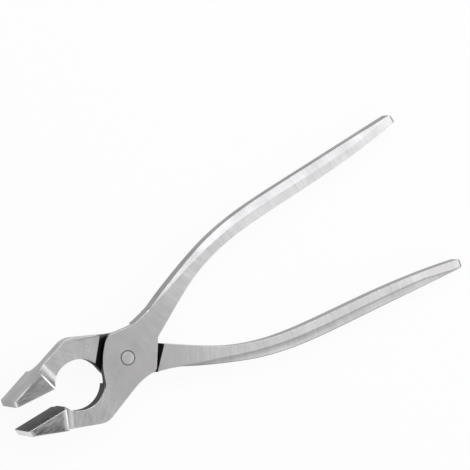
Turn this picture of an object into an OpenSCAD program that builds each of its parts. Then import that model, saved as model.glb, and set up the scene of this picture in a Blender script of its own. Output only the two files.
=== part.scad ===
// Flattening pliers for leather seams and folded edges, about 200 mm long.
// Two equal forged levers cross at a half-lap joint and turn on one flush rivet.
// The rivet's axis is Z. X runs from the jaws (-X) to the handles (+X).
// Z is 0 on the back face of the joint, so the joint and the handles lie on Z = 0.
// A lever is drawn closed and centred on Z = 0, with its jaw below the X axis.

/* [Opening] */
// Angle that each lever is turned open from closed jaws, degrees
open_half = 5.8; // [0.2:0.1:20]

/* [Joint] */
// Thickness of both levers at the joint, arms and handles
body_t = 7; // [5:0.1:9]
// Distance from the rivet's axis to the long flat of a lap
lap_flat_r = 12.5; // [11:0.1:13.5]
// Angle of the laps' long flats to the pliers' axis, closed, degrees
lap_flat_angle = 54.2; // [50:0.1:58]
// Gap between a lap's flat and the other lever's shoulder, closed
shoulder_gap = 1.2; // [0.6:0.1:2]
// Distance from the rivet's axis to the shoulder on the jaw side
jaw_shoulder_r = 13.2; // [12.6:0.1:14]
// Angle of that shoulder to the pliers' axis, closed, degrees
jaw_shoulder_angle = 59; // [52:0.5:64]
// Radius of that shoulder's two corners
shoulder_corner_r = 1; // [0.3:0.1:1.6]
// Distance from the rivet's axis to the lap's side at the throat
lap_back_r = 10.5; // [9.6:0.1:11.2]
// Radius of the bow of that side
lap_back_bow = 25; // [18:0.5:32]
// Slope at which that side runs into the lap's top corner, degrees
lap_back_slope = 46; // [42:1:50]
// Height of the lap's top edge over the rivet's axis
lap_top = 11.8; // [11.2:0.1:12.4]
// Fall of the lap's top edge towards the handle, closed, degrees
lap_top_fall = 12; // [8:0.5:14]
// Radius of the lap's top corner
lap_corner_r = 6; // [1:0.1:6.5]
// Distance from the rivet's axis, along X, at which the top edge turns up to the handle
neck_x = 9.3; // [7.5:0.1:10]
// Rise of the neck's edge from there to the handle, closed, degrees
neck_rise = 9; // [5:0.5:12]
// Clearance between the two laps' faces
lap_clearance = 0.06; // [0.02:0.01:0.2]

/* [Rivet] */
// Diameter of the rivet's shank
rivet_d = 5; // [4:0.1:5.6]
// Diameter of the rivet's flared ends, flush with the levers
rivet_head_d = 6.1; // [5.9:0.1:8]
// Depth of the flare at each end
rivet_flare = 0.8; // [0.3:0.1:1.5]
// Radial clearance in the lever that turns on the rivet
rivet_clearance = 0.05; // [0.02:0.01:0.1]

/* [Throat and arms] */
// Radius of the round throat behind the jaws
throat_r = 11.1; // [10:0.1:11.8]
// Distance from the rivet's axis to the throat's centre, along X
throat_x = 22.5; // [21.8:0.1:23.4]
// Height of a lever's own throat centre over the pliers' axis, closed
throat_y = 3.2; // [2.6:0.1:4]
// Distance from the rivet's axis to the arm's outer edge
arm_edge_r = 10.2; // [9.4:0.1:10.6]
// Angle of the arm's outer edge to the pliers' axis, closed, degrees
arm_angle = 17; // [14.5:0.5:19.5]
// Radius of the arm's outer corner
arm_corner_r = 8; // [1:0.5:12]
// Distance from the pliers' axis to the lap's lower edge, closed
lap_bottom = 10.8; // [10.4:0.1:11.2]
// Radius that blends the arm's outer edge into the lap
arm_blend_r = 24; // [8:1:30]

/* [Jaws] */
// Distance from the rivet's axis to the jaw's tip, closed
jaw_reach = 52; // [48:0.5:58]
// Length of the wide jaw along its gripping face
jaw_length = 18.3; // [12:0.1:19]
// Width of the jaw, along the rivet's axis
jaw_width = 20; // [12:0.5:30]
// Height of the jaw at its tip
jaw_tip_h = 2.5; // [1.8:0.1:4]
// Angle between the pliers' axis and the jaw's back, closed, degrees
jaw_back_angle = 25; // [23:0.5:28]
// Angle that the gripping face opens from tip to throat, degrees
jaw_relief = 3.5; // [0:0.1:5]
// Radius of the tip's two corners, seen on the gripping face
tip_corner_r = 1.6; // [0.4:0.1:3]
// Radius of the tip's back edge
tip_edge_r = 0.8; // [0.2:0.1:1]
// Radius of the hollow between the jaw's shoulder and the arm
jaw_fillet_r = 5; // [2:0.1:6]
// Gap between the two tips at the closed limit
tip_gap = 0.1; // [0.05:0.01:0.5]

/* [Handles] */
// Distance from the rivet's axis to the handle's end, closed
handle_reach = 149.5; // [130:0.5:175]
// Height of the handle's middle line over the pliers' axis at its end, closed
handle_end_y = 18.6; // [15:0.1:24]
// Height of that line where the handle leaves the joint
handle_root_y = 5.2; // [4.8:0.1:5.6]
// Height of the curve's first guide point, which sets the handle's rise
bow_rise = 27.6; // [22:0.1:32]
// Height of the curve's second guide point, which sets its run to the end
bow_run = 17.2; // [13:0.1:21]
// Height of the handle where it leaves the joint
handle_root_h = 9; // [8:0.1:10]
// Height of the handle at its thinnest, before the palm
handle_thin_h = 6.7; // [5:0.1:8]
// Height of the handle in the palm
handle_grip_h = 7.2; // [5.5:0.1:9]
// Height of the handle at its end
handle_end_h = 3.7; // [3:0.1:6]
// Radius of the corners at the handle's end
handle_end_r = 0.7; // [0.3:0.1:1.4]
// Share of the handle's height that its outer bevels take
bevel_share = 0.48; // [0.2:0.01:0.6]
// Angle of the outer bevels to the handle's flat side, degrees
bevel_angle = 18; // [8:0.5:25]
// Distance from the rivet's axis at which the bevels start
bevel_start = 20; // [18:0.5:30]
// Share of their width that the bevels lose on the way to the handle's end
bevel_end_cut = 0.7; // [0:0.05:0.8]
// Length over which the bevels narrow, before the handle's end
bevel_end_run = 20; // [5:1:30]

/* [Hidden] */
lever_colour = [0.72, 0.72, 0.73];
rivet_colour = [0.78, 0.78, 0.79];

// How finely curves are cut: degrees per step, and steps along a handle
step_angle = 6;
handle_steps = 40;
circle_facets = 96;
// How far cutting shapes stand past the metal that they cut
over = 1;
// Small radii that break the remaining corners of the outline
tip_break_r = 0.3;
flat_low_r = 1.5;
flat_high_r = 0.6;
neck_low_r = 14;
neck_high_r = 20;
// The hollow's last sliver, left out where it meets the arm almost flat
fillet_trim = 0.2;
// How fast the bevel's cut swings clear of the handle before its start
bevel_runout = 0.35;

half_t = body_t / 2;
half_lap = lap_clearance / 2;
half_jaw = jaw_width / 2;
shoulder_r = lap_flat_r + shoulder_gap;
// Room for cutting shapes, past every edge of a lever
reach_all = 2 * handle_reach;

// Vectors, lines and circles
function polar(r, a) = [r * cos(a), r * sin(a)];
function unit(v) = v / norm(v);
function left_of(v) = [-v[1], v[0]];
function cross2(a, b) = a[0] * b[1] - a[1] * b[0];
// Where the line through p along u meets the line through q along v
function meet(p, u, q, v) = p + u * cross2(q - p, v) / cross2(u, v);
// Where two circles meet, on the right of the way from p to q
function circles_meet(p, rp, q, rq) =
    let (d = norm(q - p), u = unit(q - p), a = (d * d + rp * rp - rq * rq) / (2 * d))
    p + u * a - left_of(u) * sqrt(rp * rp - a * a);
// The far point where the line through p along u leaves a circle
function line_circle(p, u, c, r) =
    let (foot = p + u * ((c - p) * u), h = norm(c - foot))
    foot + u * sqrt(r * r - h * h);
function ease(u) = let (c = min(max(u, 0), 1)) c * c * (3 - 2 * c);

// Points that round the corner b of the path a, b, c with radius r
function corner(a, b, c, r) =
    r <= 0 ? [b] :
    let (u = unit(a - b),
         v = unit(c - b),
         half = acos(u * v) / 2,
         mid = b + unit(u + v) * r / sin(half),
         from = b + u * r / tan(half) - mid,
         start = atan2(from[1], from[0]),
         turn = (180 - 2 * half) * sign(cross2(b - a, c - b)),
         steps = max(2, ceil(abs(turn) / step_angle)))
    [for (i = [0 : steps]) mid + polar(r, start + turn * i / steps)];

// A closed outline from rows of x, y and corner radius
function row(p, r = 0) = [p[0], p[1], r];
function rounded(rows) =
    let (n = len(rows), p = [for (r = rows) [r[0], r[1]]])
    [for (i = [0 : n - 1]) each corner(p[(i + n - 1) % n], p[i], p[(i + 1) % n], rows[i][2])];

// Where the handle starts, and how far along it its features lie, as shares of its span
handle_root_x = 16;
guide_1_share = 0.366;
guide_2_share = 0.41;
thin_share = 0.22;
grip_share = 0.49;
bevel_full_share = 0.36;
// How late along the grip the handle narrows to its end
end_taper_power = 3;

function along(share) = handle_root_x + share * (handle_reach - handle_root_x);

// The handle's middle line is one smooth curve with two guide points
guides = [[handle_root_x, handle_root_y],
          [along(guide_1_share), bow_rise],
          [along(guide_2_share), bow_run],
          [handle_reach, handle_end_y]];
thin_x = along(thin_share);
grip_x = along(grip_share);
bevel_full_x = along(bevel_full_share);

function middle(t) =
    let (s = 1 - t)
    pow(s, 3) * guides[0] + 3 * s * s * t * guides[1] + 3 * s * t * t * guides[2] + pow(t, 3) * guides[3];
function middle_dir(t) =
    let (s = 1 - t)
    unit(s * s * (guides[1] - guides[0]) + 2 * s * t * (guides[2] - guides[1])
         + t * t * (guides[3] - guides[2]));
// The handle's height at a distance x from the rivet's axis
function handle_h(x) =
    x < thin_x ? handle_root_h
        + (handle_thin_h - handle_root_h) * ease((x - handle_root_x) / (thin_x - handle_root_x)) :
    x < grip_x ? handle_thin_h
        + (handle_grip_h - handle_thin_h) * ease((x - thin_x) / (grip_x - thin_x)) :
    handle_grip_h
        + (handle_end_h - handle_grip_h) * pow((x - grip_x) / (handle_reach - grip_x), end_taper_power);
// A point off the middle line, outwards by a distance
function beside(t, out) = middle(t) + left_of(middle_dir(t)) * out;
// A point on the handle's edge, on its outer side 1 or its inner side -1
function edge(t, side) = beside(t, side * handle_h(middle(t)[0]) / 2);

// The jaw: its tip, gripping face, back and shoulder
tip_inner = [-jaw_reach, -tip_gap / 2];
tip_outer = tip_inner - [0, jaw_tip_h];
face_dir = polar(1, -jaw_relief);
back_dir = polar(1, -jaw_back_angle);
root_inner = tip_inner + face_dir * jaw_length;

// The throat, and the lap's bowed side that runs into it
throat = [-throat_x, throat_y];
bow_centre = circles_meet(throat, lap_back_bow + throat_r, [0, 0], lap_back_bow - lap_back_r);
bow_low = atan2(throat[1] - bow_centre[1], throat[0] - bow_centre[0]);
bow_high = 90 + lap_back_slope;
bow_steps = ceil((bow_low - bow_high) / step_angle * 2);
// The outer edge leaves the neck's rounding at this step along the handle
neck_steps = 3;

// The arm's outer edge, and the lap's lower edge
arm_dir = polar(1, arm_angle);
arm_foot = polar(arm_edge_r, arm_angle - 90);
arm_corner = meet(tip_outer, back_dir, arm_foot, arm_dir);
lap_foot = meet(arm_foot, arm_dir, [0, -lap_bottom], [1, 0]);

// The lap's long flat, and its top edge
flat_dir = polar(1, lap_flat_angle);
flat_foot = polar(lap_flat_r, lap_flat_angle - 90);
flat_low = meet(flat_foot, flat_dir, [0, -lap_bottom], [1, 0]);
flat_high = meet(flat_foot, flat_dir, edge(0, -1), middle_dir(0));
top_dir = polar(1, -lap_top_fall);
top_left = meet(bow_centre + polar(lap_back_bow, bow_high), polar(1, lap_back_slope), [0, lap_top], top_dir);
neck_low = meet([0, lap_top], top_dir, [neck_x, 0], [0, 1]);
neck_high = meet(neck_low, polar(1, neck_rise), edge(0, 1), middle_dir(0));

// Directions into the arm's metal, across its shoulder and its outer edge
pad_in = polar(1, 270 - jaw_shoulder_angle);
arm_in = left_of(arm_dir);
pad_line = pad_in * (jaw_shoulder_r + shoulder_corner_r);

module lever_outline() {
    polygon(rounded([
        row(tip_inner, tip_break_r),
        row(tip_outer, tip_edge_r),
        row(arm_corner, arm_corner_r),
        row(lap_foot, arm_blend_r),
        row(flat_low, flat_low_r),
        row(flat_high, flat_high_r),
        for (i = [0 : handle_steps - 1]) row(edge(i / handle_steps, -1)),
        row(edge(1, -1), handle_end_r),
        row(edge(1, 1), handle_end_r),
        for (i = [1 : handle_steps - neck_steps]) row(edge(1 - i / handle_steps, 1)),
        row(neck_high, neck_high_r),
        row(neck_low, neck_low_r),
        row(top_left, lap_corner_r),
        for (i = [0 : bow_steps])
            row(bow_centre + polar(lap_back_bow, bow_high + (bow_low - bow_high) * i / bow_steps)),
        row(throat),
        row(tip_inner + face_dir * (jaw_length + jaw_fillet_r))
    ]));
}

// The half-plane on the rivet's side of a line, r from the rivet's axis, across direction a
module inside_line(r, a) {
    rotate(a)
        translate([r - reach_all, -reach_all / 2])
            square(reach_all);
}

// What rounds a corner of radius r about c, where the metal lies along n1 and n2
module corner_waste(c, n1, n2, r) {
    out = r + over;
    difference() {
        polygon([c, c - n1 * out, c - unit(n1 + n2) * out / sqrt((1 + n1 * n2) / 2), c - n2 * out]);
        translate(c)
            circle(r, $fn = circle_facets);
    }
}

// The metal that makes way for the other lever's lap
module lap_recess() {
    translate([0, 0, -half_t - over])
        linear_extrude(half_t + over + half_lap) {
            intersection() {
                inside_line(shoulder_r, 90 - lap_flat_angle);
                inside_line(jaw_shoulder_r, 270 - jaw_shoulder_angle);
            }
            corner_waste(meet(pad_line, left_of(pad_in), arm_foot + arm_in * shoulder_corner_r, arm_dir),
                         pad_in, arm_in, shoulder_corner_r);
            let (c = line_circle(pad_line, -left_of(pad_in), throat, throat_r + shoulder_corner_r))
                corner_waste(c, pad_in, unit(c - throat), shoulder_corner_r);
        }
}

// The hollow on one side of the arm, at the jaw's shoulder
module shoulder_hollow() {
    translate([root_inner[0], root_inner[1], half_t])
        rotate([0, 0, -jaw_back_angle]) {
            translate([0, -jaw_length, jaw_fillet_r])
                cube([jaw_length, 2 * jaw_length, jaw_width]);
            translate([jaw_fillet_r, -jaw_length, 0])
                cube([jaw_length, 2 * jaw_length, jaw_width]);
            translate([jaw_fillet_r, 0, jaw_fillet_r])
                rotate([90, 0, 0])
                    cylinder(r = jaw_fillet_r, h = 2 * jaw_length, center = true, $fn = circle_facets);
        }
}

// What rounds one corner of the tip, seen on the gripping face
module tip_waste() {
    translate([-jaw_reach + tip_corner_r, 0, half_jaw - tip_corner_r])
        difference() {
            translate([-tip_corner_r - over, -jaw_length, 0])
                cube([tip_corner_r + over, 2 * jaw_length, tip_corner_r + over]);
            rotate([90, 0, 0])
                cylinder(r = tip_corner_r, h = 3 * jaw_length, center = true, $fn = circle_facets);
        }
}

// The wide jaw, with the hollows that carry it down to the arm
module jaw() {
    difference() {
        translate([0, 0, -half_jaw])
            linear_extrude(jaw_width)
                intersection() {
                    lever_outline();
                    translate(root_inner)
                        rotate(-jaw_back_angle)
                            translate([jaw_fillet_r - fillet_trim - reach_all, -reach_all / 2])
                                square(reach_all);
                }
        for (side = [0, 1])
            mirror([0, 0, side]) {
                shoulder_hollow();
                tip_waste();
            }
    }
}

// Width of the outer bevel at a distance x from the rivet's axis; below 0 it stays off the handle
function bevel_w(x) =
    x < bevel_start ? bevel_runout * (x - bevel_start) :
    bevel_share * handle_h(x) * sin(90 * min(1, (x - bevel_start) / (bevel_full_x - bevel_start)))
        * (1 - bevel_end_cut * ease(1 - (handle_reach - x) / bevel_end_run));
// One corner of the bevel's cutting wedge, from its offset off the middle line and its height
function wedge_point(t, out, z) = let (p = beside(t, out)) [p[0], p[1], z];
function wedge_ring(t) =
    let (x = middle(t)[0],
         rise = tan(bevel_angle),
         crest = handle_h(x) / 2 - bevel_w(x),
         out = max(crest, handle_h(x) / 2) + over)
    [wedge_point(t, crest - over / rise, half_t + over),
     wedge_point(t, out, half_t + over),
     wedge_point(t, out, half_t - (out - crest) * rise)];

// What cuts the long bevel on one side of the handle's outer edge
module bevel_waste() {
    last = handle_steps + 1;
    points = [for (i = [0 : last]) each wedge_ring(i / handle_steps)];
    polyhedron(points, [
        [2, 1, 0],
        for (i = [0 : last - 1], k = [0 : 2])
            let (a = 3 * i + k, b = 3 * i + (k + 1) % 3)
            each [[a, b, a + 3], [b, b + 3, a + 3]],
        [3 * last, 3 * last + 1, 3 * last + 2]
    ]);
}

// A profile of the rivet, or of its bore where room and past are given
function rivet_profile(room, past) =
    let (r = rivet_d / 2 + room,
         head = rivet_head_d / 2 + room,
         slope = (head - r) / rivet_flare)
    [[r, half_t - rivet_flare], [head + slope * past, half_t + past], [0, half_t + past]];

// One lever, with its lap on the +Z side and its jaw below the X axis
module lever(room) {
    difference() {
        union() {
            translate([0, 0, -half_t])
                linear_extrude(body_t)
                    lever_outline();
            jaw();
        }
        translate([throat[0], throat[1], 0])
            cylinder(r = throat_r, h = jaw_width + 2 * over, center = true, $fn = circle_facets);
        lap_recess();
        rotate_extrude($fn = circle_facets)
            polygon(concat([[0, -half_t - over], [rivet_d / 2 + room, -half_t - over]],
                           rivet_profile(room, over)));
        for (side = [0, 1])
            mirror([0, 0, side])
                bevel_waste();
    }
}

module front_lever() {
    color(lever_colour)
        translate([0, 0, half_t])
            rotate([0, 0, open_half])
                lever(0);
}

module rear_lever() {
    color(lever_colour)
        translate([0, 0, half_t])
            rotate([180, 0, 0])
                rotate([0, 0, open_half])
                    lever(rivet_clearance);
}

module pivot_rivet() {
    color(rivet_colour)
        translate([0, 0, half_t])
            for (side = [0, 1])
                mirror([0, 0, side])
                    rotate_extrude($fn = circle_facets)
                        polygon(concat([[0, 0], [rivet_d / 2, 0]], rivet_profile(0, 0)));
}

front_lever();
rear_lever();
pivot_rivet();
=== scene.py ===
import math

import bmesh
import bpy
from mathutils import Matrix, Vector


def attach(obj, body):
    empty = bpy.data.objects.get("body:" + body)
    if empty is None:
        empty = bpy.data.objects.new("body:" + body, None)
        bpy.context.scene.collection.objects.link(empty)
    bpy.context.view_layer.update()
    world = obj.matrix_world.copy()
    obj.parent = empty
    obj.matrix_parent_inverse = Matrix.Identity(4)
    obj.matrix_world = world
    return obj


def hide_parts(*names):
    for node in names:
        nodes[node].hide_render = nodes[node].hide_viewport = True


MM = 0.001

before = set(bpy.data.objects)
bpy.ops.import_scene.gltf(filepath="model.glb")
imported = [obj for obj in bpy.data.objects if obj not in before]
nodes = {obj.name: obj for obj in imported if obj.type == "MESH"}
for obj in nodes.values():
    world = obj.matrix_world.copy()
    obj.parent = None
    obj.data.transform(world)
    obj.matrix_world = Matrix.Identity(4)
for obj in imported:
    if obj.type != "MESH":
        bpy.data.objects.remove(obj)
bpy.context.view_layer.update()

# Sizes of the closed lever, as in the part's source, in millimetres and degrees
OPEN = 5.8
HALF_T = 3.5
SHOULDER_R, SHOULDER_ANGLE = 13.7, 35.8
PAD_R, PAD_ANGLE = 13.2, 211.0
THROAT, THROAT_R = Vector((-22.5, 3.2)), 11.1
TIP, TIP_H = Vector((-52.0, -0.05)), 2.5
JAW_LENGTH, JAW_RELIEF, JAW_BACK_ANGLE = 18.3, 3.5, 25.0
JAW_FILLET = 5.0
HANDLE_START, HANDLE_REACH = 20.0, 149.5
RIVET_R, RIVET_HEAD_R, RIVET_FLARE = 2.5, 3.05, 0.8

# Widths by which the levers' edges are broken, in millimetres
LIP_WIDTH, JAW_BACK_WIDTH, GRIP_WIDTH = 0.9, 0.45, 0.28
TIP_WIDTH, TIP_UPRIGHT_WIDTH = 0.35, 0.3
SHOULDER_WIDTH, HEAD_WIDTH, ARM_WIDTH, HANDLE_WIDTH = 0.34, 0.15, 0.22, 0.16
CREASE_WIDTH, PALM_WIDTH, END_WIDTH = 0.45, 0.34, 0.16


def polar(r, degrees):
    return Vector((r * math.cos(math.radians(degrees)), r * math.sin(math.radians(degrees))))


def spin(degrees, axis="Z"):
    return Matrix.Rotation(math.radians(degrees), 4, axis)


def share(value, low, high):
    # How far a value has come from low to high, from 0 to 1
    return min(1.0, max(0.0, (value - low) / (high - low)))


def add_object(name, data):
    o = bpy.data.objects.new(name, data)
    bpy.context.scene.collection.objects.link(o)
    return o


# A point of the jaw's back, the point where its gripping face ends, and the directions out of the jaw
JAW_BACK = TIP - Vector((0, TIP_H))
JAW_ROOT = TIP + polar(JAW_LENGTH, -JAW_RELIEF)
PAST_ROOT = polar(1, -JAW_BACK_ANGLE)
PAST_BACK = polar(1, -JAW_BACK_ANGLE - 90)

# From the row frame to a closed lever's own frame; the rear lever is the same lever turned over
RAISE = Matrix.Translation((0, 0, -HALF_T * MM))
TO_LEVER = {
    "front_lever": spin(-OPEN) @ RAISE,
    "rear_lever": spin(-OPEN) @ spin(180, "X") @ RAISE,
}
BODY = {"front_lever": "front", "rear_lever": "rear"}


# Camera, at the place of the one that took the photograph, in millimetres, degrees and pixels
AZIMUTH, ELEVATION, ROLL = 20.742, -0.13, 27.374
DISTANCE = 1373.2
FOCAL_PX = 3433.0
FRAME_PX = 470.0
RIVET_PX = (127.9, 358.0)
SENSOR = 36.0
# From the part to the edges of the floor, in metres
FLOOR_REACH = 40.0

turn = (spin(ELEVATION, "X") @ spin(AZIMUTH, "Y") @ spin(ROLL)).to_3x3()
rivet_right = (RIVET_PX[0] - FRAME_PX / 2) / FOCAL_PX
rivet_up = (FRAME_PX / 2 - RIVET_PX[1]) / FOCAL_PX
aim = Vector((rivet_right, rivet_up, -1.0)) * DISTANCE
place = Vector((0, 0, 2 * HALF_T)) - turn.transposed() @ aim
camera = add_object("camera", bpy.data.cameras.new("camera"))
camera.matrix_world = Matrix.Translation(place * MM) @ turn.transposed().to_4x4()
camera.data.sensor_width = SENSOR
camera.data.lens = SENSOR * FOCAL_PX / FRAME_PX
camera.data.clip_start = 0.05
# It sees the whole floor, which low views need
camera.data.clip_end = 2.5 * FLOOR_REACH
bpy.context.scene.camera = camera


# Materials
BRIGHT = (0.82, 0.82, 0.825)
GREY = (0.60, 0.60, 0.605)
HOLLOW = (0.43, 0.43, 0.433)
DULL = (0.36, 0.36, 0.368)
# Painted shade at the handle's end
END_SHADE = (0.20, 0.20, 0.203)
# Painted shade in the recess between the levers
RECESS_SHADE = (0.024, 0.024, 0.025)

# How often each kind of mark comes in a millimetre, across it and along it
FINE_MARKS = (5.5, 0.35, 0.35)
BROAD_MARKS = (1.15, 0.13, 0.13)
NICKS, NICK_ANGLE = (2.6, 0.30, 1.0), 37.0
CLOUDS, GRIT, WARMTH = 0.11, 9.0, 0.06

# How much each kind of mark changes a steel's tone, its roughness and its height
TONE = {"fine": 0.55, "broad": 0.85, "cloud": 0.8, "grit": 0.25, "nick": -0.10}
ROUGHNESS = {"cloud": -0.14, "broad": 0.16, "fine": 0.12}
HEIGHT = {"nick": -0.5, "grit": 0.15, "fine": 0.6}

# The lightest and the warmest tone of a steel, as multiples of its colour
LIGHT = 1.30
WARM = (1.05, 1.0, 0.97)


class Graph:
    """Short calls for building a material's nodes."""

    def __init__(self, name):
        self.material = bpy.data.materials.new(name)
        self.material.use_nodes = True
        self.tree = self.material.node_tree
        self.shader = self.tree.nodes["Principled BSDF"]

    def node(self, kind, **settings):
        n = self.tree.nodes.new(kind)
        for key, value in settings.items():
            setattr(n, key, value)
        return n

    def put(self, socket, value):
        if isinstance(value, bpy.types.NodeSocket):
            self.tree.links.new(value, socket)
        else:
            socket.default_value = value

    def math(self, operation, a, b=0.0, c=0.0, clamp=False):
        n = self.node("ShaderNodeMath", operation=operation, use_clamp=clamp)
        for socket, value in zip(n.inputs, (a, b, c)):
            self.put(socket, value)
        return n.outputs[0]

    def total(self, start, *parts):
        # The start, with each part's value added to it times the part's weight
        for weight, value in parts:
            start = self.math("MULTIPLY_ADD", value, weight, start)
        return start

    def ramp(self, value, low, high, to_low=0.0, to_high=1.0):
        n = self.node("ShaderNodeMapRange", interpolation_type="SMOOTHSTEP")
        for socket, v in zip(n.inputs, (value, low, high, to_low, to_high)):
            self.put(socket, v)
        return n.outputs[0]

    def colours(self, factor, a, b):
        n = self.node("ShaderNodeMix", data_type="RGBA")
        self.put(n.inputs[0], factor)
        self.put(n.inputs[6], (*a, 1) if isinstance(a, tuple) else a)
        self.put(n.inputs[7], (*b, 1) if isinstance(b, tuple) else b)
        return n.outputs[2]

    def scaled(self, vector, scale, degrees=0.0):
        n = self.node("ShaderNodeMapping")
        self.put(n.inputs["Vector"], vector)
        n.inputs["Scale"].default_value = scale
        n.inputs["Rotation"].default_value = (0, 0, math.radians(degrees))
        return n.outputs[0]

    def noise(self, vector, scale, detail, rough=0.5):
        n = self.node("ShaderNodeTexNoise")
        self.put(n.inputs["Vector"], vector)
        n.inputs["Scale"].default_value = scale
        n.inputs["Detail"].default_value = detail
        n.inputs["Roughness"].default_value = rough
        return n.outputs[0]

    def grain(self, vector, scale, detail, rough=0.5):
        # Noise about zero
        return self.math("SUBTRACT", self.noise(vector, scale, detail, rough), 0.5)

    def split(self, vector):
        n = self.node("ShaderNodeSeparateXYZ")
        self.put(n.inputs[0], vector)
        return n.outputs

    def join(self, x, y, z):
        n = self.node("ShaderNodeCombineXYZ")
        for socket, v in zip(n.inputs, (x, y, z)):
            self.put(socket, v)
        return n.outputs[0]

    def bump(self, height, depth_mm):
        n = self.node("ShaderNodeBump")
        n.inputs["Distance"].default_value = depth_mm * MM
        self.put(n.inputs["Height"], height)
        self.put(self.shader.inputs["Normal"], n.outputs[0])


# Where the handle starts and ends to lean, each with its slope there, and the height that it leans about
LEAN_START, LEAN_END = (10.0, 0.46), (82.0, 0.01)
HANDLE_MIDDLE = 15.0
# The radius at which marks round the throat have the same scale as straight ones
ARM_R = 20.0


def around_handle(g, p):
    # Coordinates whose x is even along the handle, so that lines of even x cross it squarely
    x, y, z = g.split(p)
    slope = g.ramp(x, LEAN_START[0], LEAN_END[0], LEAN_START[1], LEAN_END[1])
    return g.join(g.math("MULTIPLY_ADD", slope, g.math("SUBTRACT", y, HANDLE_MIDDLE), x), y, z)


def around_throat(g, p):
    # Coordinates whose x runs round the throat, so that lines of even x cross the bowed arm squarely
    x, y, z = g.split(p)
    dx, dy = g.math("SUBTRACT", x, THROAT.x), g.math("SUBTRACT", y, THROAT.y)
    angle = g.math("ARCTAN2", dx, g.math("MULTIPLY", dy, -1.0))
    far = g.math("SQRT", g.math("ADD", g.math("MULTIPLY", dx, dx), g.math("MULTIPLY", dy, dy)))
    return g.join(g.math("MULTIPLY", angle, ARM_R), far, z)


def straight(angle, fine=1.0):
    # Coordinates whose x crosses grinding marks that run at this angle, closer together where fine is more
    return lambda g, p: g.scaled(p, (fine, fine, fine), 90.0 - angle)


def between(low, high, at_low=0.0, at_high=1.0, axis=0):
    # A value that changes between two places along the lever, or across it where axis is 1
    return lambda g, p: g.ramp(g.split(p)[axis], low, high, at_low, at_high)


def beyond(point, direction, low, high, at_low=0.0, at_high=1.0):
    # A value that changes between two distances past a line of the plan, which crosses direction at point
    def value(g, p):
        x, y = g.split(p)[:2]
        far = g.total(-(point @ direction), (direction.y, y), (direction.x, x))
        return g.ramp(far, low, high, at_low, at_high)
    return value


def from_back(low, high, at_low, at_high):
    # A value that changes between two distances from the jaw's back, towards its gripping face
    return beyond(JAW_BACK, -PAST_BACK, low, high, at_low, at_high)


def from_root(low, high):
    # A mask that grows between two distances from the jaw's root line, towards the rivet
    return beyond(JAW_ROOT, PAST_ROOT, low, high)


def shade_at_end(low, high):
    # A mask for painted shade, which grows towards the handle's end between two distances from it
    return between(HANDLE_REACH - low, HANDLE_REACH - high)


def combined(operation, a, b):
    # Two values put together by a math operation
    return lambda g, p: g.math(operation, a(g, p), b(g, p))


# Masks for the arm, the head, the handle, the jaw near its tip, the lap's outer edge and the jaw's back; the
# last three shape a painted highlight on the jaw's edges, the painted shade of the recess and the lip's
# painted shade
on_arm = between(-15.0, -8.0, 1.0, 0.0)
on_head = combined("MULTIPLY", between(-15.0, -8.0), between(16.0, 26.0, 1.0, 0.0))
on_handle = between(14.0, 26.0)
near_tip = between(-48.0, -42.0, 1.0, 0.0)
at_lap_edge = between(-12.6, -10.6, 1.0, 0.0, axis=1)
at_back = from_back(0.0, 4.5, 0.85, 0.0)

# Painted light and shade: the near faces are brighter along the arm and the palm than at the joint and at the
# handle's end
palm_shade = combined("ADD", between(18.0, 45.0, 0.0, 0.36), between(72.0, 118.0, 0.0, -0.34))
lever_shade = combined("ADD", palm_shade, between(-14.0, -8.0, 0.24, 0.0))


def jaw_shade(at_back_edge, at_grip):
    # Painted light and shade: the jaw's sides are brighter along the gripping edge and beside the shoulder
    # than at the back edge
    return combined("ADD", from_back(0.5, 5.5, at_back_edge, at_grip), between(-50.0, -38.0, 0.0, 0.10))


def bevel_shade(g, p):
    # Painted shade and highlight: the long bevel is dark beside its crease and bright at the outer edge, less
    # so towards the end
    x, _, z = g.split(p)
    depth = g.math("SUBTRACT", HALF_T, g.math("ABSOLUTE", z))
    inner = g.ramp(x, 84.0, 98.0, -0.15, 0.22)
    return g.math("ADD", g.ramp(depth, 0.15, 0.85, inner, 0.42), g.ramp(x, 24.0, 50.0, -0.40, 0.0))


STEELS = {}


# shade adds painted light and shade to a steel's tone by place, and most fades mix in painted light and shade
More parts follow.
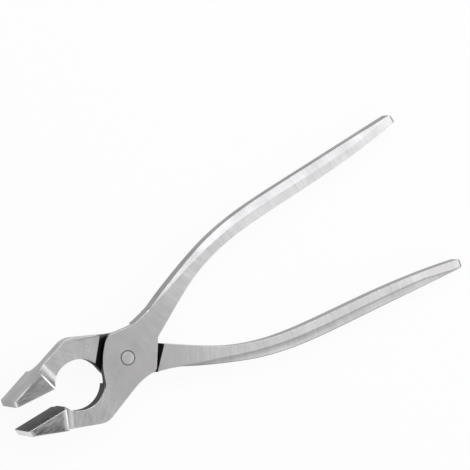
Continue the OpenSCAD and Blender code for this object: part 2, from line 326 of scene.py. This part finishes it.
def steel(name, colour, rough, marks, contrast, depth, shade=None, tint=0.0, rim=1.0, fade=None, low=0.70):
    """Ground steel. marks is a list of (field, strength, mask), without a mask where they cover the face;
    depth is the marks' in millimetres, rim the shine at grazing angles, fade a mask and its other colour,
    and low the darkest tone as a multiple of the colour."""
    g = Graph("steel_" + name)
    p = g.node("ShaderNodeAttribute", attribute_name="own_mm").outputs["Vector"]
    fine, broad = None, None
    for field, strength, *mask in marks:
        q = field(g, p)
        weight = g.math("MULTIPLY", mask[0](g, p), strength) if mask else strength
        f = g.math("MULTIPLY", g.grain(g.scaled(q, FINE_MARKS), 1.0, 3.0, 0.6), weight)
        b = g.math("MULTIPLY", g.grain(g.scaled(q, BROAD_MARKS), 1.0, 3.0, 0.55), weight)
        fine = f if fine is None else g.math("ADD", fine, f)
        broad = b if broad is None else g.math("ADD", broad, b)
    kinds = {"fine": fine, "broad": broad, "cloud": g.grain(p, CLOUDS, 3.0), "grit": g.grain(p, GRIT, 1.0)}
    kinds["nick"] = g.ramp(g.noise(g.scaled(p, NICKS, NICK_ANGLE), 1.0, 1.0), 0.20, 0.25, 1.0, 0.0)

    def marked(start, weights, times=1.0):
        return g.total(start, *((weight * times, kinds[kind]) for kind, weight in weights.items()))

    tone = marked(0.5, TONE, contrast)
    if shade is not None:
        tone = g.math("ADD", tone, shade(g, p))
    body = g.colours(tone, tuple(c * low for c in colour), tuple(min(1.0, c * LIGHT) for c in colour))
    if tint:
        warm = g.ramp(g.noise(p, WARMTH, 2.0), 0.35, 0.65)
        warmest = tuple(min(1.0, c * k) for c, k in zip(colour, WARM))
        body = g.colours(g.math("MULTIPLY", warm, tint), body, warmest)
    if fade is not None:
        mask, other = fade
        body = g.colours(mask(g, p), body, other)
    g.put(g.shader.inputs["Base Color"], body)
    g.shader.inputs["Metallic"].default_value = 1.0
    g.shader.inputs["Specular Tint"].default_value = (rim, rim, rim, 1)
    g.put(g.shader.inputs["Roughness"], g.math("ADD", marked(rough, ROUGHNESS), 0.0, clamp=True))
    g.bump(marked(0.0, HEIGHT), depth)
    STEELS[name] = g.material


def jaw_side(name, tip_shine, root_shine, shade, low):
    # A jaw's sides, with a painted highlight over root_shine millimetres beside the shoulder and by tip_shine
    # at the tip's corners
    at_tip = between(-51.0, -49.8, tip_shine, 0.0)
    shine = combined("MAXIMUM", at_tip, from_root(-LIP_WIDTH - root_shine, -LIP_WIDTH))
    marks = [(straight(3, 1.7), 2.2)]
    steel(name, (0.35, 0.35, 0.355), 0.40, marks, 1.3, 0.010, shade, fade=(shine, BRIGHT), low=low)


LEVER_MARKS = [
    (around_throat, 0.75, on_arm),
    (straight(40), 0.75, on_arm),
    (straight(100), 0.35, on_head),
    (around_handle, 1.0, on_handle),
]

# Faces and broken edges of the levers
# The ground steel takes painted light and shade along the lever, and painted shade at the handle's end
steel("ground", GREY, 0.37, LEVER_MARKS, 1.0, 0.005, lever_shade, tint=0.5, fade=(shade_at_end(0.7, 0.35), END_SHADE))
steel("hollow", HOLLOW, 0.48, [(around_throat, 1.8)], 1.1, 0.005)
steel("hollow_soft", HOLLOW, 0.48, [(around_throat, 0.8)], 0.7, 0.005, fade=(from_root(2.8, 4.9), GREY))
# The broken edges darken at the handle's end: painted shade
steel("outline", (0.74, 0.74, 0.745), 0.33, [(around_handle, 0.5)], 0.6, 0.003, fade=(shade_at_end(0.8, 0.3), DULL))
steel("handle_edge", DULL, 0.38, [(around_handle, 0.6)], 0.7, 0.004)
steel("crease", (0.64, 0.64, 0.648), 0.42, [(around_handle, 1.0)], 0.7, 0.004)
steel("crease_shaded", (0.50, 0.50, 0.505), 0.40, [(around_handle, 1.0)], 0.7, 0.004)
steel("bevel", (0.65, 0.65, 0.665), 0.50, [(around_handle, 1.0)], 0.8, 0.005)
# The rear lever's long bevel carries painted shade beside its crease and a painted highlight at its outer
# edge
steel("bevel_painted_shade", GREY, 0.37, [(around_handle, 1.0)], 0.8, 0.005, bevel_shade)
steel("polished", BRIGHT, 0.28, [(straight(0), 0.4)], 0.3, 0.003)
# The lip, a polished edge, fades to grey towards the jaw's back, more on the rear lever: painted shade
steel("lip", BRIGHT, 0.28, [(straight(0), 0.4)], 0.3, 0.003, fade=(at_back, (0.50, 0.50, 0.505)))
steel("lip_shaded", BRIGHT, 0.28, [(straight(0), 0.4)], 0.3, 0.003, fade=(at_back, (0.25, 0.25, 0.253)))
steel("worn", (0.66, 0.66, 0.665), 0.30, [(straight(0), 0.6)], 0.6, 0.004)
jaw_side("jaw_side", 0.95, 1.7, jaw_shade(-0.45, 0.45), 0.52)
jaw_side("jaw_side_shaded", 0.2, 0.3, jaw_shade(0.0, 0.35), 0.70)
# The jaw's back edges turn bright near the tip: painted highlight
steel("jaw_edge", (0.42, 0.42, 0.425), 0.36, [(straight(-25), 0.8)], 0.8, 0.006, fade=(near_tip, BRIGHT))
steel("corner", (0.96, 0.96, 0.965), 0.42, [(straight(0), 0.4)], 0.3, 0.003)
steel("jaw_back", (0.335, 0.335, 0.34), 0.38, [(straight(-25), 1.0)], 0.9, 0.008)
steel("grip", (0.115, 0.115, 0.117), 0.40, [(straight(4, 0.65), 3.0)], 2.0, 0.010, rim=0.5)
steel("tip", (0.66, 0.66, 0.665), 0.30, [(straight(90), 0.8)], 0.7, 0.004)
steel("tip_shaded", (0.29, 0.29, 0.293), 0.36, [(straight(90), 1.2)], 1.2, 0.006)
steel("throat", (0.10, 0.10, 0.102), 0.42, [(around_throat, 0.8)], 1.0, 0.008, rim=0.45)
# The walls darken at the handle's end: painted shade
steel("wall", (0.25, 0.25, 0.253), 0.38, [(around_handle, 0.8)], 0.9, 0.006, fade=(shade_at_end(1.2, 0.8), END_SHADE))
# The arm's outer wall is a lighter copy of the wall: painted highlight
steel("arm_wall", (0.38, 0.38, 0.384), 0.38, [(around_throat, 0.8)], 0.9, 0.006)
# The lap's faces and the walls in the recess are near black, lighter at the lap's outer edge: painted shade
steel("lap", RECESS_SHADE, 0.46, [(straight(60), 1.0)], 1.2, 0.006, fade=(at_lap_edge, (0.22, 0.22, 0.223)))

SLOTS = list(STEELS)
BROKEN = len(SLOTS)
# The rear lever catches the light otherwise: it shows the second steel where the front lever shows the first,
# copies made darker or lighter by painted light and shade
REAR_STEELS = {
    "tip": "tip_shaded",
    "bevel": "bevel_painted_shade",
    "jaw_side": "jaw_side_shaded",
    "corner": "polished",
    "hollow": "hollow_soft",
    "lip": "lip_shaded",
    "crease": "crease_shaded",
}

# The rivet's faces and its rim
steel("rivet", (0.67, 0.67, 0.675), 0.36, [(straight(35), 0.7)], 1.3, 0.010)
steel("rivet_rim", (0.14, 0.14, 0.141), 0.45, [(straight(35), 0.7)], 1.0, 0.006)


# Levers

# Cosines: two directions are the same above the first, and a face is an upright wall below the second
SAME_WAY, WALL = 0.9, 0.2
# Edges that turn by fewer degrees than these stay whole: on the jaw, elsewhere, and upright ones
SLIGHT, SMOOTH, SMOOTH_UPRIGHT = 30, 14, 40
# An edge this near a line of the plan lies on it, in millimetres
NEAR = 0.3
# Past these places edges stay sharp, so that the lever doesn't grow
SHARP_TIP, SHARP_END = -50.9, HANDLE_REACH - 0.9
# Where places end along the lever: the tip's corners, the jaw's edges and faces, the hollow and the lap
CORNER_X, JAW_EDGES_X, JAW_FACES_X, HOLLOW_X, LAP_X = -50.3, -33, -30, -24, -22
# The same for the arm's walls, the throat, the lap's front edge, and the handle before the palm
ARM_X, THROAT_X, PAD_X, PALM_X = -9, -8, -5, 80
# Between these places the handle's crease and outer edge grow from nothing, and again from the handle's end
CREASE_GROWS, CREASE_RETURNS = (HANDLE_START + 3, HANDLE_START + 19), (150, 132)
EDGE_GROWS, EDGE_RETURNS = (HANDLE_START + 1, HANDLE_START + 13), (138, 125)
# How level faces are, from 0 upright to 1: the tip's corners, the hollow, the crease and the bevel
CORNER_LEVELS, HOLLOW_LEVELS, CREASE_LEVEL, BEVEL_LEVEL = (0.15, 0.995), (0.05, 0.9995), 0.94, 0.99
# How far the jaw's edges, its broken edges and its faces reach past its root line
EDGES_PAST, BROKEN_PAST, FACES_PAST = 1.8, 1.3, 0.02
# Heights from the lever's middle: past the arm's faces, and at the tip's corners
PAST_ARM, AT_CORNER = 5.0, 8.9
# The radius of the head's outline, of the wall round the other lever's lap, and round the rivet's hole
HEAD_R, LAP_WALL_R, HOLE_R = 16.0, 12.8, 4.0


def past_lines(plan):
    # How far a point of the plan lies outside the two shoulder lines of the lap
    return plan @ polar(1, SHOULDER_ANGLE) - SHOULDER_R, plan @ polar(1, PAD_ANGLE) - PAD_R


def past_root(plan):
    # How far a point of the plan lies from the jaw's root line, on the rivet's side above 0
    return (plan - JAW_ROOT) @ PAST_ROOT


def edge_width(e):
    # Millimetres by which an edge is broken, by where it is and how sharp it is
    angle = math.degrees(e.calc_face_angle_signed(0.0))
    a, b = [v.co / MM for v in e.verts]
    mid = (a + b) / 2
    plan = mid.xy
    upright = abs((b - a).normalized().z) > SAME_WAY
    if not SHARP_TIP <= mid.x <= SHARP_END:
        return 0.0
    root = past_root(plan)
    if mid.x < JAW_EDGES_X and root < EDGES_PAST and abs(mid.z) > PAST_ARM:
        if angle < SLIGHT:
            return 0.0
        if max(abs(f.normal.z) for f in e.link_faces) > SAME_WAY:
            if root > -NEAR:
                return LIP_WIDTH
            return JAW_BACK_WIDTH if (plan - JAW_BACK) @ PAST_BACK > -NEAR else GRIP_WIDTH
        return TIP_UPRIGHT_WIDTH if upright else TIP_WIDTH
    if angle < (SMOOTH_UPRIGHT if upright else SMOOTH):
        return 0.0
    shoulder, pad = past_lines(plan)
    if max(shoulder, pad) < NEAR and mid.z < 0.2 and mid.x > LAP_X:
        return 0.0
    if mid.x > HANDLE_START - 1 and angle < SLIGHT:
        # The crease of the long bevel
        return CREASE_WIDTH * share(mid.x, *CREASE_GROWS) * max(0.3, share(mid.x, *CREASE_RETURNS))
    if mid.x > HANDLE_START - 1 and 60 < angle < 80:
        # The outer edge of the long bevel
        full = END_WIDTH + (PALM_WIDTH - END_WIDTH) * share(mid.x, *EDGE_RETURNS)
        return full * max(0.1, share(mid.x, *EDGE_GROWS))
    if abs(pad) < 1.0 and mid.z > 3 and mid.x < PAD_X:
        return SHOULDER_WIDTH
    if plan.length < HEAD_R:
        return HEAD_WIDTH
    return HANDLE_WIDTH if mid.x > PALM_X else ARM_WIDTH


def jaw_steel(normal, root, broken):
    # The steel that a face of the jaw shows
    level = abs(normal.z)
    backward = normal.xy.normalized() @ PAST_BACK
    if broken and backward > 0.6:
        return "jaw_edge"
    if broken:
        return "lip" if root > -LIP_WIDTH - NEAR and level > HOLLOW_LEVELS[0] else "worn"
    if level > SAME_WAY:
        return "jaw_side"
    if backward > SAME_WAY:
        return "jaw_back"
    return "grip" if normal.y > SAME_WAY else "tip"


def wall_steel(centre, normal):
    # The steel that an upright wall shows; walls in the recess take the lap's painted shade, and the arm's
    # outer wall a painted highlight
    plan = centre.xy
    if abs((plan - THROAT).length - THROAT_R) < 0.4 and centre.x < THROAT_X:
        return "throat"
    if max(past_lines(plan)) < 0.05 and centre.z < 0.1:
        return "wall" if normal.y < -0.5 else "lap"
    around = math.degrees(math.atan2(plan.y, plan.x)) % 360
    if plan.length < LAP_WALL_R and centre.z > 0 and 100 < around < 260:
        return "lap"
    return "arm_wall" if centre.x < ARM_X and normal.y < 0 else "wall"


def face_steel(f, broken):
    # The steel that a face shows, by where it is; broken faces are the ones that break an edge
    centre, normal = f.calc_center_median() / MM, f.normal
    plan, level = centre.xy, abs(normal.z)
    root = past_root(plan)
    forward = CORNER_LEVELS[0] < level < CORNER_LEVELS[1] and abs(normal.y) < 0.3
    if centre.x < CORNER_X and abs(centre.z) > AT_CORNER and forward:
        return "corner"
    past = BROKEN_PAST if broken else FACES_PAST
    if centre.x < JAW_FACES_X and root < past and abs(centre.z) > (PAST_ARM if root > 0 else 0):
        return jaw_steel(normal, root, broken)
    if broken and centre.x > HANDLE_START and normal.xy.normalized().y > 0.3:
        return "crease" if level > CREASE_LEVEL else "handle_edge"
    if broken:
        return "handle_edge" if plan.length < HOLE_R else "outline"
    in_hollow = centre.x < HOLLOW_X and root < JAW_FILLET + 0.01
    if in_hollow and HOLLOW_LEVELS[0] < level < HOLLOW_LEVELS[1]:
        return "hollow"
    if level < WALL:
        return wall_steel(centre, normal)
    # The lap's faces in the recess take its painted shade
    if max(past_lines(plan)) < 0.05 and -1 < centre.z < 0.1:
        return "lap"
    return "bevel" if centre.x > HANDLE_START and level < BEVEL_LEVEL else "ground"


# Points this near each other become one, in millimetres: at first, at the tip's corners, and at last
FIRST_MERGE, TIP_MERGE, LAST_MERGE = 0.012, 0.07, 0.001
# The tip's corners lie past this place along the lever and this height from its middle
TIP_CORNER_X, TIP_CORNER_Z = -51.2, 8.2
# Degrees: faces within the first become one, and edges look smooth up to the others, broken and whole
PLANE_ANGLE, BROKEN_SMOOTH, WHOLE_SMOOTH = 0.05, 60, 22


def solid_mesh():
    # The solid's own mesh in the lever's frame, with the width by which each edge is to be broken
    bm = bmesh.new()
    bm.from_mesh(nodes["front_lever"].data)
    bmesh.ops.transform(bm, matrix=TO_LEVER["front_lever"], verts=bm.verts)
    bmesh.ops.remove_doubles(bm, verts=bm.verts, dist=FIRST_MERGE * MM)
    corners = [v for v in bm.verts if v.co.x < TIP_CORNER_X * MM and abs(v.co.z) > TIP_CORNER_Z * MM]
    bmesh.ops.remove_doubles(bm, verts=corners, dist=TIP_MERGE * MM)
    bmesh.ops.dissolve_limit(
        bm, angle_limit=math.radians(PLANE_ANGLE), verts=bm.verts, edges=bm.edges, delimit={"NORMAL"})
    layer = bm.edges.layers.float.new("bevel_weight_edge")
    for e in bm.edges:
        e[layer] = edge_width(e) if e.is_manifold else 0.0
    me = bpy.data.meshes.new("lever_raw")
    bm.to_mesh(me)
    bm.free()
    return me


def lever_mesh():
    # The solid with its edges broken, and the steel of each place on its faces
    raw = solid_mesh()
    for slot in SLOTS + ["outline"]:
        raw.materials.append(STEELS[slot])
    o = add_object("lever_raw", raw)
    bevel = o.modifiers.new("edges", "BEVEL")
    bevel.limit_method = "WEIGHT"
    bevel.offset_type = "OFFSET"
    bevel.width = 1.0 * MM
    bevel.segments = 3
    bevel.use_clamp_overlap = False
    bevel.material = BROKEN
    bevel.miter_outer = "MITER_ARC"
    done = bpy.data.meshes.new_from_object(o.evaluated_get(bpy.context.evaluated_depsgraph_get()))
    bpy.data.objects.remove(o)
    bm = bmesh.new()
    bm.from_mesh(done)
    bmesh.ops.remove_doubles(bm, verts=bm.verts, dist=LAST_MERGE * MM)
    for e in bm.edges:
        whole = all(f.material_index != BROKEN for f in e.link_faces)
        e.smooth = e.calc_face_angle(0.0) < math.radians(WHOLE_SMOOTH if whole else BROKEN_SMOOTH)
    for f in bm.faces:
        f.smooth = True
        f.material_index = SLOTS.index(face_steel(f, f.material_index == BROKEN))
    bm.to_mesh(done)
    bm.free()
    done.materials.pop(index=BROKEN)
    done.name = "lever"
    return done


def keep_own_place(me):
    # Each point keeps its place in its piece's own frame, in millimetres, for the materials
    own = me.attributes.new("own_mm", "FLOAT_VECTOR", "POINT")
    own.data.foreach_set("vector", [c / MM for v in me.vertices for c in v.co])


lever = lever_mesh()
keep_own_place(lever)
for node in TO_LEVER:
    me = lever.copy()
    me.transform(TO_LEVER[node].inverted())
    if node == "rear_lever":
        for part, other in REAR_STEELS.items():
            me.materials[SLOTS.index(part)] = STEELS[other]
    piece = add_object(node + "_forging", me)
    normals = piece.modifiers.new("normals", "WEIGHTED_NORMAL")
    normals.keep_sharp = True
    normals.weight = 60
    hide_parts(node)
    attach(piece, BODY[node])


# Rivet

# A turned profile of (radius, height): each face a little crowned, its rim rolled down, then the flare
RIVET_HALF = [
    (0.0, HALF_T - 0.005),
    (1.3, HALF_T - 0.008),
    (2.2, HALF_T - 0.014),
    (2.62, HALF_T - 0.022),
    (2.78, HALF_T - 0.045),
    (2.88, HALF_T - 0.12),
    (2.93, HALF_T - 0.22),
    (RIVET_HEAD_R - 0.16, HALF_T - 0.34),
    (RIVET_R, HALF_T - RIVET_FLARE),
]
RIVET_STEPS = 72
# The dark rim starts at this radius, or this far below the face
RIM_R, RIM_DEPTH = 2.6, 0.3


def rivet_mesh():
    profile = RIVET_HALF + [(r, -z) for r, z in reversed(RIVET_HALF)]
    bm = bmesh.new()
    rings = []
    for r, z in profile:
        around = [polar(r, 360 * i / RIVET_STEPS) * MM for i in range(RIVET_STEPS if r else 1)]
        rings.append([bm.verts.new((*at, z * MM)) for at in around])
    for k, (a, b) in enumerate(zip(rings, rings[1:])):
        rim = min(profile[k][0], profile[k + 1][0]) > RIM_R
        for i in range(RIVET_STEPS):
            j = (i + 1) % RIVET_STEPS
            if len(a) == 1:
                f = bm.faces.new((a[0], b[i], b[j]))
            elif len(b) == 1:
                f = bm.faces.new((a[i], b[0], a[j]))
            else:
                f = bm.faces.new((a[i], b[i], b[j], a[j]))
            f.smooth = True
            f.material_index = 1 if rim or abs(f.calc_center_median().z) < (HALF_T - RIM_DEPTH) * MM else 0
    bmesh.ops.recalc_face_normals(bm, faces=bm.faces)
    me = bpy.data.meshes.new("rivet")
    bm.to_mesh(me)
    bm.free()
    keep_own_place(me)
    me.transform(RAISE.inverted())
    return me


rivet = add_object("pivot_rivet_set", rivet_mesh())
rivet.data.materials.append(STEELS["rivet"])
rivet.data.materials.append(STEELS["rivet_rim"])
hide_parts("pivot_rivet")
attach(rivet, "front")


# Floor

# It touches the lower jaw sides at their shoulders and the handles' ends, so it slopes
FLOOR_AT = (-0.0339, 0, -0.0066)
FLOOR_SLOPE = math.degrees(math.atan2(6.5, 182.0))
# How much of its light is its own where it is seen or mirrored
GLOW = 0.93

floor_mesh = bpy.data.meshes.new("floor")
bm = bmesh.new()
bmesh.ops.create_grid(bm, x_segments=2, y_segments=2, size=FLOOR_REACH)
bm.to_mesh(floor_mesh)
bm.free()
floor = add_object("floor", floor_mesh)
floor.matrix_world = Matrix.Translation(FLOOR_AT) @ spin(-FLOOR_SLOPE, "Y")

g = Graph("floor_white")
g.shader.inputs["Base Color"].default_value = (0.9, 0.9, 0.9, 1)
g.shader.inputs["Roughness"].default_value = 0.9
path = g.node("ShaderNodeLightPath").outputs
mirrored = g.math("MAXIMUM", path["Is Glossy Ray"], path["Is Transmission Ray"])
seen = g.math("MAXIMUM", path["Is Camera Ray"], mirrored)
glow = g.node("ShaderNodeEmission")
glow.inputs["Color"].default_value = (1, 1, 1, 1)
mix = g.node("ShaderNodeMixShader")
g.put(mix.inputs[0], g.math("MULTIPLY", seen, GLOW))
g.put(mix.inputs[1], g.shader.outputs[0])
g.put(mix.inputs[2], glow.outputs[0])
g.put(g.tree.nodes["Material Output"].inputs["Surface"], mix.outputs[0])
floor.data.materials.append(g.material)


# Light
world = bpy.data.worlds.new("world")
bpy.context.scene.world = world
world.use_nodes = True
world.node_tree.nodes["Background"].inputs["Color"].default_value = (0.95, 0.95, 0.96, 1)
world.node_tree.nodes["Background"].inputs["Strength"].default_value = 0.41


def softbox(name, place, target, size, power):
    data = bpy.data.lights.new(name, "AREA")
    data.shape = "RECTANGLE"
    data.size, data.size_y = size
    data.energy = power
    o = add_object(name, data)
    o.location = place
    o.rotation_euler = (Vector(place) - Vector(target)).to_track_quat("Z", "Y").to_euler()


# Each one's place, the place it shines at and its size in metres, and its power in watts
softbox("key", (0.15, 0.42, 0.62), (0.05, 0.0, 0.0), (0.5, 0.3), 1.6)
softbox("low", (0.30, -0.62, 0.60), (0.08, 0.0, 0.0), (0.6, 0.4), 0.45)
softbox("left", (-0.88, -0.10, 0.36), (0.0, 0.0, 0.0), (0.6, 0.5), 0.7)
softbox("side", (0.85, -0.15, 0.38), (0.0, 0.0, 0.0), (0.65, 0.60), 1.6)
softbox("fill", (0.66, -0.05, 0.60), (0.08, 0.0, 0.0), (0.5, 0.6), 1.9)

bpy.context.scene.view_settings.view_transform = "Standard"
